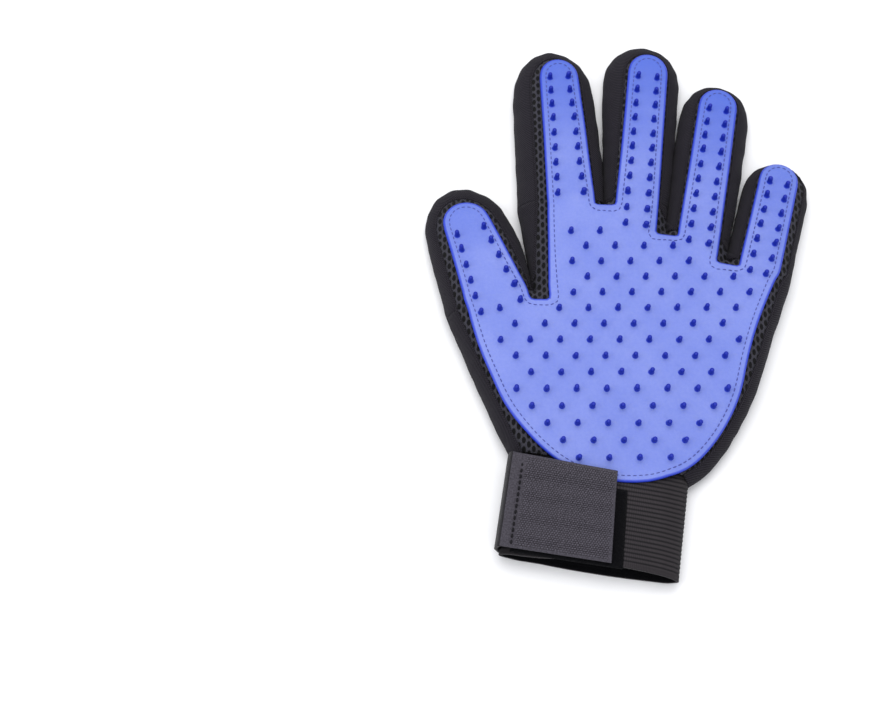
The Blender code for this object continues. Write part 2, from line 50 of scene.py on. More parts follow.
# Shape of the cloth
CREST_ROUNDING = 9.0 * MM  # the cloth reaches its full height this far inside its outline
EDGE_SHARE = 0.42  # height at the outline, as a share of the full height
UNDULATION = 0.45 * MM
UNDULATION_LENGTH = 24 * MM
SLOPE_STEP = 0.4 * MM  # the cloth's slope is measured over this distance
STEEPEST = 0.8
CLOTH = 0.9 * MM
CORNER_ROUNDING = 1.5 * MM
KNUCKLE_EASE = 7.0 * MM  # an outline turns towards its finger's direction over this length
KNUCKLE_EASE_SHARE = 0.4  # or over this share of a short outline
# the back's edge, from below: inset and height in mm
BACK_EDGE = [(2.4, 0.0), (1.5, 0.12), (0.9, 0.5), (1.0, 1.0)]

# How a node's straight edges are told from its round ones
WRIST_SPAN = 40 * MM  # the wrist's is longer than this
WRIST_REACH = 8 * MM  # and this close to the cuff's top edge
KNUCKLE_SPAN = 8 * MM  # a knuckle's is longer than this
KNUCKLE_REACH = 2.5 * MM  # and this close to its hinge
STRAIGHT = 0.002 * MM

# Spacing of points
LINE_STEP = 1.2 * MM
FINE_STEP = 0.3 * MM  # where corners are rounded
TRACK_STEP = 0.5 * MM  # where a line is only followed or measured
FILL_SILICONE = 2.2 * MM
FILL_UNDER_SILICONE = 4.5 * MM
FILL_AIR_MESH = 2.4 * MM
FILL_BACK = 3.0 * MM
FILL_BACK_INSIDE = 5.0 * MM
ROW_SHARE = 0.866  # spacing of a triangular grid's rows, as a share of the spacing along a row
EDGE_CLEARANCE = 0.55  # a filling point's distance from the outline, as a share of the spacing
HOLE_CLEARANCE = 0.35  # and from a hole
HOLE_SHARE = 0.93  # a triangle is in a hole if its middle is within this share of the radius
SHARP_ANGLE = 50.0  # degrees

# Knit walls between the back and the mesh
WALL_STEPS = 10
WALL_COLUMN = 1.1 * MM
WALL_BULGE = 0.75 * MM
WALL_BELLY = 0.68  # the share of the way down at which the wall bulges most
WALL_SHOULDER = 0.75  # how far out the wall's shoulder stands, as a share of its lean
WALL_SHOULDER_OUT = 0.15 * MM
WALL_SHOULDER_DROP = 0.1 * MM
WALL_HEAD_RISE = 0.15 * MM  # above the mesh, to cover its edge
WALL_WAIST = 0.42  # height of the curve's third control, as a share of the wall's height
WALL_TUCK = 0.7 * MM  # the foot turns in under the glove this far
WALL_FOOT = 0.35 * MM
WALL_TURN = 4  # columns over which a wall turns to its knuckle line
WALL_WEAVE = 13  # mm of knit from head to foot
PUCKER = 0.4 * MM
PUCKER_LENGTH = 5.5 * MM

# Rolled seam between the mesh and the knit
SEAM_RADIUS = 0.42 * MM
SEAM_LIFT = 0.05 * MM
SEAM_STEP = 0.7 * MM
SEAM_ROUND = (8, 3.6)  # its sides, and mm of weave round it
SEAM_BEAT = 0.16  # how much its overlock stitches swell it
SEAM_PITCH = 2.2 * MM

# Silicone
SHEET = 1.4 * MM
CAD_GAP = 0.3 * MM  # between the mesh and the silicone in the frame
SILICONE_LIFT = 0.1 * MM  # the silicone lies this far above the mesh
NUB_BASE_RADIUS = 1.5 * MM
NUB_SIDES = 12
NUB_LEAN = 0.12  # the most that a nub leans, as a share of its height
NUB_LEAN_SCALE = 900  # per metre
NUB_DEPTH = (0.35, 3.0)  # depth of colour at a nub's foot, and how much it gains on the way up: painted shade that deepens the nub's blue
NUB_TOP_LEVEL = 0.9  # a nub's top in the frame: least upward part of its normal
NUB_TOP_HEIGHT = 3 * MM  # least height above the mesh
NUB_TOP_REACH = 1.6 * MM  # faces this close together are one top
# the sheet's edge, from below: inset in mm, height as a share of the sheet's, and depth of colour, which
# paints shade on the rim
SHEET_EDGE = [(0.15, 0.0, 0.6), (0.0, 0.35, 0.6), (0.08, 0.72, 0.6), (0.4, 0.93, 0.5),
              (0.8, 0.98, 0.38), (1.3, 1.0, 0.0)]
# painted reflection haze on the silicone sheet: how much it fades along a finger, where the fade starts,
# and over what length
REFLECTION_FADE = 0.85
REFLECTION_START = 16 * MM
REFLECTION_LENGTH = 54 * MM
# a nub's rings: radius in mm, and height as a share of the nub's
NUB_RINGS = [(1.24, 0.03), (1.1, 0.11), (1.03, 0.3), (0.98, 0.6), (0.92, 0.84), (0.7, 0.96), (0.36, 1.0)]
STITCH_INSET = 2.6 * MM
NOTCH_STITCH_DROP = 1.2 * MM  # the stitches keep this much further from a notch's foot
STITCH_PITCH = 2.3 * MM
STITCH_LENGTH = 1.5 * MM
STITCH_RADIUS = 0.2 * MM
STITCH_ROUND = (6, 1.8)  # its sides, and mm of weave round it
STITCH_RINGS = (-1, -0.62, 0, 0.62, 1)  # along a stitch, as shares of half its length
STITCH_TAPER = 0.25  # how much thinner its ends are
STITCH_PROUD = 0.55  # how far it stands up, in its own radii
STITCH_DIP = 1.2  # how far its ends dip, in its own radii

# Cuff and strap
ELASTIC = 1.2 * MM
CUFF_COLUMNS = 150
CUFF_ROW = 0.3 * MM
CUFF_SQUARENESS = (0.55, 0.8)  # powers that square off its round section, across and in height
CUFF_TUCK = 5 * MM  # the cuff goes this far in under the palm
CUFF_TUCK_IN = 1.3 * MM  # and is this much smaller there
CUFF_HEM = 2.0 * MM  # the ribs fade out over this length at the hand opening
CUFF_WANDER = 0.25 * MM  # how far the ribs stray from straight
RIB_PITCH = 1.8 * MM
RIB_DEPTH = 0.24 * MM
OPENING_BOW = 1.8 * MM  # the hand opening's front edge is drawn back, and lifted a little
OPENING_RISE = 0.5 * MM
OPENING_MIDDLE = 0.25  # where it is drawn back most, in half widths of the cuff
OPENING_REACH = 0.8  # how far to each side, in half widths
LOOP_TAPE = 0.8 * MM
LOOP_GRID = 0.5 * MM
PILE_SINK = 0.25 * MM
PILE_HEIGHT = 0.22 * MM
PILE_LENGTH = 1.1 * MM
PILE_EDGE = 1.6 * MM  # the pile is worn down over about this width at the patch's rim
PILE_EDGE_DROP = 1.1 * MM
HOOK_TAPE_DEPTH = 1.3 * MM
HOOK_GRID = 0.27 * MM
HOOK_PITCH = 1.05 * MM
HOOK_ROW = 0.8 * HOOK_PITCH
HOOK_HEIGHT = 0.38 * MM
HOOK_SINK = 0.3 * MM  # the tape's ground lies this far below the frame's
HOOK_RIM = 0.8 * MM  # the tape has no hooks on its rim
PLAIN_TAPE_DEPTH = 0.5  # between the gaps (0), painted dark as shade, and the hooks' crowns (1)
STRAP_BLEND = 3 * MM  # length from the strap's fold, at which make_strap sets an end point that nothing uses
STRAP_SAG = 0.25 * MM
SKEW = (1.8 * MM, 1.5 * MM)  # how far the tapes' top right corner is drawn in, and down
STRAP_STITCH_RADIUS = 0.48 * MM
STRAP_STITCH_ENDS = (1 * MM, 3.4 * MM)  # from the tape's lower and upper edges
FOLD_REACH = 1.92 * MM  # how far the fold rounds out past the strap
FOLD_START = 0.1 * MM  # the fold starts this far under the strap's left edge
FOLD_UNDER = 3.4 * MM  # and comes back in this far below it
FOLD_FOOT = 1.2 * MM
FOLD_DROP = 0.35 * MM
FOLD_STEPS = 14
FOLD_ROWS = 40

HOLE_GRID = (3.9, 3.7)  # air mesh: spacing of its holes in mm, with one more amid each four
HOLE_SIZE = (0.8, 1.4)  # half width and half height of a hole

BLEND_LENGTH = 14 * MM  # length past a finger's knuckle line, at which attach sets an end point that nothing uses

# Camera, lights and floor
VIEW_ELEVATION = 68.0
VIEW_DISTANCE = 0.600
VIEW_TARGET = (-0.0772, 0.0525, 0.0)
VIEW_LENS = 59.2
SENSOR_WIDTH = 36
LIGHT_TARGET = (0, 0.06, 0)
FLOOR_HALF = 3
FLOOR_DROP = 0.3 * MM

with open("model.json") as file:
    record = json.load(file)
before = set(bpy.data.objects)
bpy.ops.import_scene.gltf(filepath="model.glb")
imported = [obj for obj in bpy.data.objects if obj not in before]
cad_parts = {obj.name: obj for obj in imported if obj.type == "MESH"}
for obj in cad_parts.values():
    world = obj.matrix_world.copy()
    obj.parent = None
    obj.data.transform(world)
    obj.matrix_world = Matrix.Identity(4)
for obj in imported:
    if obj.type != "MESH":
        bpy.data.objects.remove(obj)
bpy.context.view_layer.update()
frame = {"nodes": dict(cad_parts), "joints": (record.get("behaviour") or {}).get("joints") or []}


# ---------------------------------------------------------------- the frame's outlines


class Axis:
    """A frame in plan: an origin, a direction to the right and one ahead."""

    def __init__(self, origin, right):
        self.origin = Vector(origin[:2])
        self.right = Vector(right[:2]).normalized()
        self.ahead = Vector((-self.right.y, self.right.x))

    def local(self, point):
        offset = Vector(point[:2]) - self.origin
        return Vector((offset.dot(self.right), offset.dot(self.ahead)))

    def world(self, right, ahead):
        return self.origin + self.right * right + self.ahead * ahead


JOINTS = {j["child"]: j for j in frame["joints"]}
FINGERS = [name for name in JOINTS if name != "strap"]
KNUCKLES = {name: Axis(JOINTS[name]["pos_m"], JOINTS[name]["axis"]) for name in FINGERS}


def node_points(node):
    mesh = frame["nodes"][node].data
    co = np.empty(len(mesh.vertices) * 3)
    mesh.vertices.foreach_get("co", co)
    return co.reshape(-1, 3)


def cuff_frame():
    """The cuff's frame, with its origin at the middle of its top edge."""
    ax, ay = JOINTS["strap"]["axis"][:2]
    turned = Axis((0, 0), (-ay, ax))
    local = np.array([turned.local(p) for p in node_points("elastic_band")])
    low, high = local.min(0), local.max(0)
    origin = turned.world((low[0] + high[0]) / 2, high[1])
    return Axis(origin, turned.right), high[0] - low[0], high[1] - low[1]


CUFF, CUFF_WIDTH, CUFF_LENGTH = cuff_frame()


def rim(node):
    """Outline of a node's underside, anticlockwise."""
    bm = bmesh.new()
    bm.from_mesh(frame["nodes"][node].data)
    bmesh.ops.remove_doubles(bm, verts=bm.verts, dist=1e-6)
    bm.normal_update()
    links = {}
    for edge in bm.edges:
        downward = [f for f in edge.link_faces if f.normal.z < -0.5]
        if len(downward) == 1:
            a, b = edge.verts
            links.setdefault(a, []).append(b)
            links.setdefault(b, []).append(a)
    loops = []
    left = dict.fromkeys(links)  # unlike a set, in the same order each run
    while left:
        vert = next(iter(left))
        came = None
        points = []
        while vert in left:
            del left[vert]
            points.append(vert.co.xy.copy())
            onward = [v for v in links[vert] if v is not came]
            came, vert = vert, onward[0]
        loops.append(points)
    bm.free()
    points = max(loops, key=lambda p: abs(area(p)))
    return points if area(points) > 0 else points[::-1]


def area(points):
    return sum(a.cross(b) for a, b in zip(points, points[1:] + points[:1])) / 2


def without_straight_points(points):
    kept = []
    for k, point in enumerate(points):
        before, after = points[k - 1], points[(k + 1) % len(points)]
        way = (after - before).normalized()
        if abs(way.cross(point - before)) > STRAIGHT:
            kept.append(point)
    return kept


def cut_name(a, b):
    """The finger whose knuckle line the edge from a to b is, or wrist, or None."""
    length = (b - a).length
    if length > WRIST_SPAN and max(abs(CUFF.local(p).y) for p in (a, b)) < WRIST_REACH:
        return "wrist"
    for name, axis in KNUCKLES.items():
        ends = axis.local(a), axis.local(b)
        on_line = all(abs(end.y) < KNUCKLE_REACH for end in ends)
        if on_line and ends[0].x * ends[1].x < 0 and length > KNUCKLE_SPAN:
            return name
    return None


def on_knuckle(point, name):
    """The point moved onto the finger's knuckle line."""
    if name not in KNUCKLES:
        return point
    axis = KNUCKLES[name]
    return axis.world(axis.local(point).x, 0)


def stretches(node):
    """The node's outline cut at the knuckle lines and the wrist: {(from, to): line}."""
    points = without_straight_points(rim(node))
    count = len(points)
    names = [cut_name(points[k], points[(k + 1) % count]) for k in range(count)]
    cuts = [k for k in range(count) if names[k]]
    found = {}
    for cut, following in zip(cuts, cuts[1:] + cuts[:1]):
        first = (cut + 1) % count
        size = (following - first) % count + 1
        line = [points[(first + k) % count] for k in range(size)]
        line[0] = on_knuckle(line[0], names[cut])
        line[-1] = on_knuckle(line[-1], names[following])
        line = eased(smoothed(line), names[cut])
        found[(names[cut], names[following])] = eased(line[::-1], names[following])[::-1]
    return found


def eased(line, name):
    """The line, bent near its first point so that it leaves the knuckle line squarely."""
    if name not in KNUCKLES:
        return line
    reach = min(KNUCKLE_EASE, line_length(line) * KNUCKLE_EASE_SHARE)
    axis = KNUCKLES[name]
    start = axis.local(line[0]).x
    found = []
    gone = 0.0
    for k, point in enumerate(line):
        gone += (point - line[k - 1]).length if k else 0.0
        share = min(gone / reach, 1.0)
        weight = share * share * (3 - 2 * share)
        place = axis.local(point)
        found.append(axis.world(start + (place.x - start) * weight, place.y))
    return found


def line_length(line):
    return sum((b - a).length for a, b in zip(line, line[1:]))


def divided(line, count):
    """The line cut into count even steps, with its ends kept."""
    flat = np.array([tuple(p) for p in line])
    run = np.concatenate([[0], np.cumsum(np.linalg.norm(np.diff(flat, axis=0), axis=1))])
    at = np.linspace(0, run[-1], count + 1)
    columns = [np.interp(at, run, flat[:, k]) for k in range(flat.shape[1])]
    return [Vector(p) for p in zip(*columns)]


def resampled(line, step):
    """The line's points at an even spacing of about step, with its ends kept."""
    return divided(line, max(int(round(line_length(line) / step)), 2))


def smoothed(line):
    """The line with its corners rounded, by averaging along it, and its ends kept."""
    flat = np.array([tuple(p) for p in resampled(line, FINE_STEP)])
    width = max(min(int(CORNER_ROUNDING / FINE_STEP), (len(flat) - 1) // 2), 1)
    kernel = np.hanning(2 * width + 3)[1:-1]
    kernel /= kernel.sum()
    for _ in range(2):
        before = 2 * flat[0] - flat[width:0:-1]
        after = 2 * flat[-1] - flat[-2:-width - 2:-1]
        padded = np.vstack([before, flat, after])
        flat = np.stack([np.convolve(padded[:, k], kernel, "valid") for k in range(2)], 1)
    return resampled([Vector(p) for p in flat], LINE_STEP)


def side_normals(line):
    """Unit normals to the right of an open line's direction: outward, on an anticlockwise line."""
    found = []
    for k in range(len(line)):
        step = line[min(k + 1, len(line) - 1)] - line[max(k - 1, 0)]
        found.append(Vector((step.y, -step.x)).normalized())
    return found


class Outline:
    """A closed outline made of stretches joined by straight knuckle and wrist lines.

    outward holds each point's direction out of the outline. At the ends of a stretch it lies along
    the straight line that follows, and on that line it is zero, so that an inset keeps to the line.
    """

    def __init__(self, node):
        self.stretches = stretches(node)
        self.points, self.outward = [], []
        lines = list(self.stretches.values())
        for k, line in enumerate(lines):
            previous, following = lines[k - 1], lines[(k + 1) % len(lines)]
            outward = side_normals(line)
            outward[0] = (line[0] - previous[-1]).normalized()
            outward[-1] = (line[-1] - following[0]).normalized()
            straight = resampled([line[-1], following[0]], LINE_STEP)[1:-1]
            self.points += line + straight
            self.outward += outward + [Vector((0, 0))] * len(straight)

    def inset(self, distance):
        return [p - n * distance for p, n in zip(self.points, self.outward)]


OUTLINES = {}


def outline(node):
    if node not in OUTLINES:
        OUTLINES[node] = Outline(node)
    return OUTLINES[node]


# ---------------------------------------------------------------- the cloth's height


def tops_along(node, axis):
    """The highest z of a node at each place along an axis, as pairs in order."""
    points = node_points(node)
    ahead = np.array([axis.local(p).y for p in points])
    tops = {}
    for place, z in zip(np.round(ahead, 4), points[:, 2]):
        tops[place] = max(tops.get(place, 0), z)
    return sorted(tops.items())


def crest_profile(node, axis):
    """Height of a node's upper face along an axis, bridging hollows, as (places, heights)."""
    hull = []
    for t, z in tops_along(node, axis):
        while len(hull) > 1:
            (t0, z0), (t1, z1) = hull[-2:]
            if (z1 - z0) * (t - t0) > (z - z0) * (t1 - t0):
                break
            hull.pop()
        hull.append((t, z))
    return tuple(zip(*hull))


WORLD_AXIS = Axis((0, 0), (1, 0))
CRESTS = {name: crest_profile(name + "_mesh", KNUCKLES[name]) for name in FINGERS}
CRESTS["palm"] = crest_profile("palm_mesh", WORLD_AXIS)


def point_tree(points):
    """A search tree of points in plan."""
    tree = KDTree(len(points))
    for k, (x, y) in enumerate(points):
        tree.insert((x, y, 0), k)
    tree.balance()
    return tree


def cloth_edge_tree():
    """A search tree of the cloth's outer edge, without the knuckle and wrist lines."""
    lines = list(outline("back_panel").stretches.values())
    for name in FINGERS:
        lines += outline(name + "_back").stretches.values()
    return point_tree([p for line in lines for p in resampled(line, TRACK_STEP)])


EDGE_TREE = cloth_edge_tree()


def cloth_height(flat, body):
    """Height of the cloth's upper face at each of the points, an array of x, y."""
    axis = KNUCKLES.get(body, WORLD_AXIS)
    ahead = (flat - np.array(axis.origin)) @ np.array(axis.ahead)
    crest = np.interp(ahead, *CRESTS[body])
    inside = np.array([EDGE_TREE.find((x, y, 0))[2] for x, y in flat])
    share = np.clip(inside / CREST_ROUNDING, 0, 1)
    dome = np.sqrt(1 - (1 - share) ** 2)
    wave = np.array([noise.noise(Vector((x, y, 0)) / UNDULATION_LENGTH) for x, y in flat])
    return crest * (EDGE_SHARE + (1 - EDGE_SHARE) * dome) + wave * UNDULATION * dome


def drape(bm, body, gap=0.0):
    """Lays a flat mesh, whose z is a height above the cloth, over the cloth along its normals."""
    co = np.array([v.co[:] for v in bm.verts])
    flat, lift = co[:, :2], co[:, 2] + gap
    base = cloth_height(flat, body)
    slope_x = (cloth_height(flat + [SLOPE_STEP, 0], body) - base) / SLOPE_STEP
    slope_y = (cloth_height(flat + [0, SLOPE_STEP], body) - base) / SLOPE_STEP
    normal = np.stack([-slope_x, -slope_y, np.ones(len(base))], 1)
    normal[:, :2] = np.clip(normal[:, :2], -STEEPEST, STEEPEST)
    normal /= np.linalg.norm(normal, axis=1)[:, None]
    placed = np.column_stack([flat, base]) + normal * lift[:, None]
    for vert, point in zip(bm.verts, placed):
        vert.co = point


# ---------------------------------------------------------------- mesh tools


def clamped(value):
    return min(max(value, 0.0), 1.0)


def inside_polygon(points, polygon):
    """Which of the points, an array of x, y, lie in the polygon."""
    result = np.zeros(len(points), bool)
    ring = np.array([tuple(p) for p in polygon])
    for (ax, ay), (bx, by) in zip(ring, np.roll(ring, -1, axis=0)):
        crosses = (ay > points[:, 1]) != (by > points[:, 1])
        if by != ay:
            at = ax + (points[:, 1] - ay) / (by - ay) * (bx - ax)
            result ^= crosses & (points[:, 0] < at)
    return result


def grid_inside(polygon, spacing, holes, hole_radius):
    """Points of a triangular grid well inside the polygon and clear of the round holes."""
    ring = np.array([tuple(p) for p in polygon])
    low, high = ring.min(0), ring.max(0)
    rows = np.arange(low[1], high[1], spacing * ROW_SHARE)
    points = []
    for k, y in enumerate(rows):
        xs = np.arange(low[0] + (k % 2) * spacing / 2, high[0], spacing)
        points += [(x, y) for x in xs]
    points = np.array(points)
    points = points[inside_polygon(points, polygon)]
    tree = point_tree(ring)
    kept = [p for p in points if tree.find((*p, 0))[2] > spacing * EDGE_CLEARANCE]
    if holes:
        centres = np.array([tuple(h) for h in holes])
        reach = hole_radius + spacing * HOLE_CLEARANCE
        kept = [p for p in kept if np.min(np.sum((centres - p) ** 2, axis=1)) > reach ** 2]
    return kept


def fill(bm, ring, lift, spacing, holes=(), hole_radius=0.0, flip=False):
    """Fills a ring of verts with even triangles at z = lift, round the holes' rings of verts."""
    coords = [v.co.xy.copy() for v in ring]
    verts = list(ring)
    edges = [(k, (k + 1) % len(ring)) for k in range(len(ring))]
    centres = []
    for hole in holes:
        start = len(coords)
        coords += [v.co.xy.copy() for v in hole]
        verts += hole
        edges += [(start + k, start + (k + 1) % len(hole)) for k in range(len(hole))]
        centres.append(sum((v.co.xy for v in hole), Vector((0, 0))) / len(hole))
    polygon = [v.co.xy for v in ring]
    coords += [Vector(p) for p in grid_inside(polygon, spacing, centres, hole_radius)]
    out, _, faces, origins, _, _ = delaunay_2d_cdt(coords, edges, [], 0, 1e-8)
    made = []
    for point, origin in zip(out, origins):
        known = [k for k in origin if k < len(verts)]
        made.append(verts[known[0]] if known else bm.verts.new((point.x, point.y, lift)))
    middles = np.array([np.mean([out[k][:] for k in face], axis=0) for face in faces])
    keep = inside_polygon(middles, polygon)
    if centres:
        spots = np.array([tuple(c) for c in centres])
        gaps = np.min(np.linalg.norm(middles[:, None] - spots[None], axis=2), axis=1)
        keep &= gaps > hole_radius * HOLE_SHARE
    for face, wanted in zip(faces, keep):
        corners = [made[k] for k in face]
        if wanted and len(set(corners)) == 3:
            bm.faces.new(corners[::-1] if flip else corners)


def join_rings(bm, rings, capped=False):
    """Faces between each ring of verts and the next, which is above or inside it."""
    for lower, upper in zip(rings, rings[1:]):
        for k in range(len(lower)):
            j = (k + 1) % len(lower)
            bm.faces.new((lower[k], lower[j], upper[j], upper[k]))
    if capped:
        bm.faces.new(rings[0][::-1])
        bm.faces.new(rings[-1])


def join_columns(bm, columns):
    """Faces between each open column of verts and the next."""
    for left, right in zip(columns, columns[1:]):
        for k in range(len(left) - 1):
            bm.faces.new((left[k], right[k], right[k + 1], left[k + 1]))


def new_object(name, bm, material, uv=None):
    """The scene's object for a bmesh, shaded smooth. uv holds its verts' weave coordinates in mm."""
    layer = bm.loops.layers.uv.new("weave")
    for face in bm.faces:
        for corner in face.loops:
            co = corner.vert.co
            corner[layer].uv = uv[corner.vert] if uv else (co.x / MM, co.y / MM)
    mesh = bpy.data.meshes.new(name)
    bm.to_mesh(mesh)
    bm.free()
    mesh.materials.append(material)
    mesh.shade_smooth()
    mesh.set_sharp_from_angle(angle=math.radians(SHARP_ANGLE))
    obj = bpy.data.objects.new(name, mesh)
    bpy.context.scene.collection.objects.link(obj)
    return obj


def attach(obj, body, slot, *nodes):
    """Rides on its body; where the body is a finger, its transform is only baked into the mesh."""
    if body in KNUCKLES:
        axis = KNUCKLES[body]
        start, end = axis.world(0, 0), axis.world(0, BLEND_LENGTH)
        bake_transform(obj)
    else:
        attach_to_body(obj, body)
    if nodes:
        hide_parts(*nodes)


def thicken(obj, thickness):
    solid = obj.modifiers.new("cloth", "SOLIDIFY")
    solid.thickness = thickness
    solid.offset = -1
    solid.use_even_offset = False


# ---------------------------------------------------------------- materials


class Shader:
    """A short way to write a node material."""

    def __init__(self, name):
        self.material = bpy.data.materials.new(name)
        self.material.use_nodes = True
        self.nodes = self.material.node_tree.nodes
        self.links = self.material.node_tree.links
        self.base = self.nodes["Principled BSDF"]

    def put(self, socket, value):
        if isinstance(value, bpy.types.NodeSocket):
            self.links.new(value, socket)
        elif isinstance(value, tuple) and socket.type == "RGBA":
            socket.default_value = (*value, 1.0)
        else:
            socket.default_value = value

    def node(self, kind, inputs=(), output=0, **settings):
        node = self.nodes.new("ShaderNode" + kind)
        for key, value in settings.items():
            setattr(node, key, value)
        for key, value in dict(inputs).items():
            self.put(node.inputs[key], value)
        return node.outputs[output]

    def weave(self, scale=(1, 1, 1), turn=0.0):
        """Weave coordinates, in mm, scaled and turned."""
        uv = self.node("UVMap", uv_map="weave")
        rotation = (0, 0, math.radians(turn))
        return self.node("Mapping", {"Vector": uv, "Scale": scale, "Rotation": rotation})

    def noise(self, vector, scale, detail=3.0, roughness=0.5):
        return self.node("TexNoise", {"Vector": vector, "Scale": scale, "Detail": detail,
                                      "Roughness": roughness})

    def wave(self, turn, scale, distortion, detail=2.0, detail_scale=1.0):
        return self.node("TexWave", {"Vector": self.weave(turn=turn), "Scale": scale, "Detail": detail,
                                     "Distortion": distortion, "Detail Scale": detail_scale})

    def depth(self, name="depth"):
        return self.node("Attribute", attribute_name=name, output=2)

    def math(self, operation, a, b=0.0):
        return self.node("Math", {0: a, 1: b}, operation=operation)

    def vector(self, operation, a, b=(0, 0, 0), output=0):
        return self.node("VectorMath", {0: a, 1: b}, output, operation=operation)

    def ramp(self, value, low, high, to_low=0.0, to_high=1.0):
        limits = {"From Min": low, "From Max": high, "To Min": to_low, "To Max": to_high}
        return self.node("MapRange", {"Value": value, **limits}, interpolation_type="SMOOTHSTEP")

    def blend(self, share, a, b):
        mix = self.nodes.new("ShaderNodeMix")
        mix.data_type = "RGBA"
        for index, value in ((0, share), (6, a), (7, b)):
            self.put(mix.inputs[index], value)
        return mix.outputs[2]

    def bump(self, height, distance, strength, normal=None):
        inputs = {"Height": height, "Distance": distance, "Strength": strength}
        if normal:
            inputs["Normal"] = normal
        return self.node("Bump", inputs)

    def finish(self, **inputs):
        for key, value in inputs.items():
            self.put(self.base.inputs[key.replace("_", " ")], value)
        return self.material


def silicone_material():
    """Satin blue silicone. The flat sheet is painted pale with a painted reflection haze; the rims and
    nubs are painted deep saturated blue, the silicone's own blue darkened by painted shade.
    """
    s = Shader("silicone")
    uv = s.weave()
    cloud = s.ramp(s.noise(uv, 0.035, 4.0, 0.55), 0.3, 0.7, 0.78, 1.04)
    # the random mottle, times the painted reflection haze that fades towards the fingertips
    cloud = s.math("MULTIPLY", cloud, s.depth("bloom"))
    mottle_and_reflection = s.math("MULTIPLY", cloud, s.ramp(s.noise(uv, 0.75, 3.0, 0.7), 0.25, 0.75, 0.84, 1.06))
    # the pale end is the painted reflection haze on the sheet's flat top
    sheet = s.blend(mottle_and_reflection, (0.062, 0.122, 0.560), (0.186, 0.240, 0.635))
    # the rim and the nubs, by depth, are painted deeper blue: painted shade, with none of the sheet's
    # painted reflection haze
    rim = s.blend(s.ramp(s.depth(), 0.1, 0.6), sheet, (0.014, 0.040, 0.50))
    colour = s.blend(s.ramp(s.depth(), 0.6, 1.0), rim, (0.003, 0.016, 0.34))
    ripple = s.bump(s.noise(uv, 0.16, 2.0, 0.5), 0.0006, 0.35)
    normal = s.bump(s.noise(uv, 1.6, 3.0, 0.6), 0.00008, 0.35, ripple)
    roughness = s.ramp(s.noise(uv, 0.09, 5.0, 0.6), 0.3, 0.7, 0.40, 0.56)
    return s.finish(Base_Color=colour, Roughness=roughness, Normal=normal, Specular_IOR_Level=0.28,
                    Subsurface_Weight=0.08, Subsurface_Radius=(0.2, 0.3, 1.0), Subsurface_Scale=0.001,
                    Coat_Weight=0.05, Coat_Roughness=0.3)


def ovals(s, uv, offset):
    """Distance from the middle of the nearest oval, in its own radii, on a rectangular grid."""
    cell = s.vector("FRACTION", s.vector("ADD", uv, (offset, offset, 0)))
    centred = s.vector("SUBTRACT", cell, (0.5, 0.5, 0))
    radii = (HOLE_GRID[0] / HOLE_SIZE[0], HOLE_GRID[1] / HOLE_SIZE[1], 0)
    return s.vector("LENGTH", s.vector("MULTIPLY", centred, radii), output=1)


def air_mesh_material():
    """Black spacer mesh: staggered oval holes between rounded, slightly paler threads; the holes are
    painted near black, as painted shade inside the glove.
    """
    s = Shader("air_mesh")
    wobble = s.node("TexNoise", {"Vector": s.weave(), "Scale": 0.5, "Detail": 2.0}, 1)
    place = s.vector("ADD", s.weave(), s.vector("MULTIPLY", wobble, (0.45, 0.45, 0)))
    grid = s.vector("MULTIPLY", place, (1 / HOLE_GRID[0], 1 / HOLE_GRID[1], 0))
    gap = s.math("MINIMUM", ovals(s, grid, 0.0), ovals(s, grid, 0.5))
    solid = s.ramp(gap, 0.78, 1.08)
    fibre = s.wave(62, 0.75, 3.5)
    thread = s.blend(fibre, (0.016, 0.016, 0.022), (0.076, 0.073, 0.095))
    # the holes are painted near black: painted shade inside the glove
    colour = s.blend(solid, (0.0006, 0.0006, 0.001), thread)
    height = s.math("ADD", solid, s.math("MULTIPLY", fibre, 0.25))
    return s.finish(Base_Color=colour, Roughness=0.75, Normal=s.bump(height, 0.0008, 0.9),
                    Sheen_Weight=0.03, Sheen_Roughness=0.5, Specular_IOR_Level=0.2)


def knit_material():
    """Black polyester knit with a fine diagonal rib and a little fuzz."""
    s = Shader("knit")
    twill = s.wave(38, 0.42, 0.7, 1.5, 2.0)
    cross = s.wave(-42, 0.62, 0.5)
    weft = s.math("MULTIPLY", twill, s.math("ADD", s.math("MULTIPLY", cross, 0.45), 0.55))
    patch = s.noise(s.weave(), 0.08, 4.0, 0.6)
    dark = s.blend(patch, (0.0035, 0.003, 0.0045), (0.008, 0.0072, 0.010))
    colour = s.blend(weft, dark, (0.034, 0.030, 0.041))
    fuzz = s.noise(s.weave(), 3.2, 2.0)
    height = s.math("ADD", weft, s.math("MULTIPLY", fuzz, 0.3))
    return s.finish(Base_Color=colour, Roughness=0.85, Normal=s.bump(height, 0.00035, 0.8),
                    Sheen_Weight=0.03, Sheen_Roughness=0.4, Specular_IOR_Level=0.15)


def elastic_material():
    """Ribbed elastic: the ribs are in the mesh, and fine cords cross them here."""
    s = Shader("elastic")
    cords = s.wave(0, 0.62, 0.9, 1.0)
    patch = s.noise(s.weave((1, 0.3, 1)), 0.12, 3.0)
    crown = s.blend(patch, (0.029, 0.025, 0.028), (0.042, 0.036, 0.040))
    # painted shade: the rib valleys, where depth is 1, are painted near black
    colour = s.blend(s.depth(), crown, (0.0045, 0.004, 0.0055))
    shade = s.math("ADD", s.math("MULTIPLY", cords, 0.35), 0.75)
    colour = s.node("VectorMath", {0: colour, "Scale": shade}, operation="SCALE")
    fuzz = s.noise(s.weave(), 2.6, 2.0)
    height = s.math("ADD", cords, s.math("MULTIPLY", fuzz, 0.5))
    return s.finish(Base_Color=colour, Roughness=0.75, Normal=s.bump(height, 0.00018, 0.7),
                    Sheen_Weight=0.03, Specular_IOR_Level=0.18)


